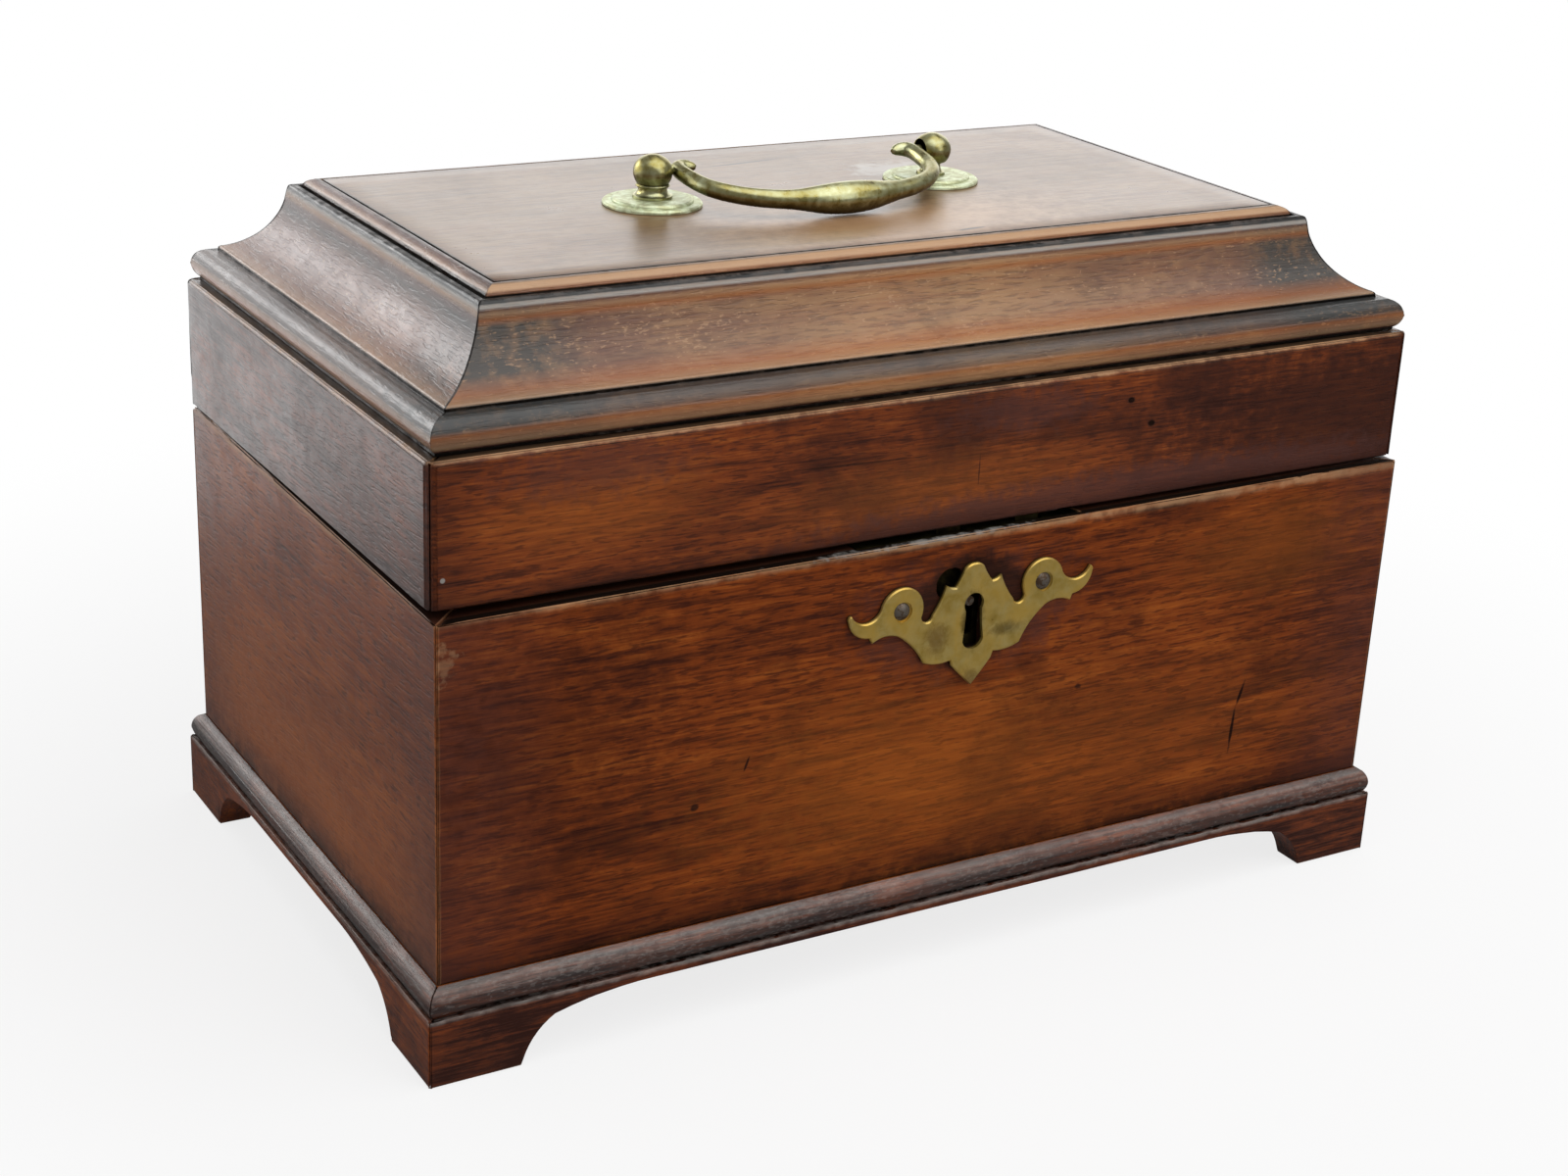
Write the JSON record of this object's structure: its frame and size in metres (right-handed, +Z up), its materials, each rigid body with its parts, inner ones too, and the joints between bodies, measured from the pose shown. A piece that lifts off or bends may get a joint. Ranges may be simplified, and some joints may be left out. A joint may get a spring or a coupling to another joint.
{
  "type": "tea caddy",
  "caption": "Chest-form wooden tea caddy with bracket feet, a hinged moulded lid with a swan-neck bail handle, a lock behind a bat-wing escutcheon, and compartments for tea.",
  "frame": {"origin": "centre of the footprint, on the surface the feet stand on", "axes": "+X along the width, towards the right as seen from the front; the front with the keyhole faces -Y; +Z up"},
  "size_m": [0.2452, 0.1492, 0.1668],
  "materials": {
    "mahogany": "old wax polish",
    "secondary_wood": "bare, aged",
    "brass": "aged, dull",
    "steel": "dark, aged"
  },
  "bodies": {
    "case": {"front_board": "mahogany", "back_board": "mahogany", "left_board": "mahogany", "right_board": "mahogany", "bottom_board": "secondary_wood", "partition_left": "mahogany", "partition_right": "mahogany", "plinth_front": "mahogany", "plinth_back": "mahogany", "plinth_left": "mahogany", "plinth_right": "mahogany", "base_moulding_front": "mahogany", "base_moulding_back": "mahogany", "base_moulding_left": "mahogany", "base_moulding_right": "mahogany", "foot_block_front_left": "secondary_wood", "foot_block_front_right": "secondary_wood", "foot_block_back_left": "secondary_wood", "foot_block_back_right": "secondary_wood", "escutcheon": "brass", "escutcheon_pins": "steel", "lock_case": "brass", "lock_plate": "brass", "lock_drill_pin": "steel", "lock_spring": "steel", "lock_screws": "steel", "hinge_leaf_case_left": "brass", "hinge_leaf_case_right": "brass", "hinge_pin_left": "brass", "hinge_pin_right": "brass", "hinge_screws_case": "steel"},
    "lid": {"lid_front_board": "mahogany", "lid_back_board": "mahogany", "lid_left_board": "mahogany", "lid_right_board": "mahogany", "lid_moulding_front": "mahogany", "lid_moulding_back": "mahogany", "lid_moulding_left": "mahogany", "lid_moulding_right": "mahogany", "lid_ground_board": "secondary_wood", "lid_top_panel": "mahogany", "handle_rose_left": "brass", "handle_rose_right": "brass", "handle_post_left": "brass", "handle_post_right": "brass", "handle_nuts": "brass", "hinge_leaf_lid_left": "brass", "hinge_leaf_lid_right": "brass", "hinge_screws_lid": "steel", "lock_link_plate": "brass", "link_plate_screws": "steel"},
    "bail": {"bail_handle": "brass"},
    "lock_bolt": {"lock_bolt": "brass"}
  },
  "joints": [
    {"name": "lid_hinge", "type": "hinge", "parent": "case", "child": "lid", "pos_m": [0, 0.0695, 0.1], "axis": [-1, 0, 0], "range_deg": [0, 98]},
    {"name": "bail_swing", "type": "hinge", "parent": "lid", "child": "bail", "pos_m": [0, 0.002, 0.1631], "axis": [-1, 0, 0], "range_deg": [0, 197]},
    {"name": "lock_bolt_slide", "type": "slide", "parent": "case", "child": "lock_bolt", "axis": [1, 0, 0], "range_m": [0, 0.0042]}
  ]
}
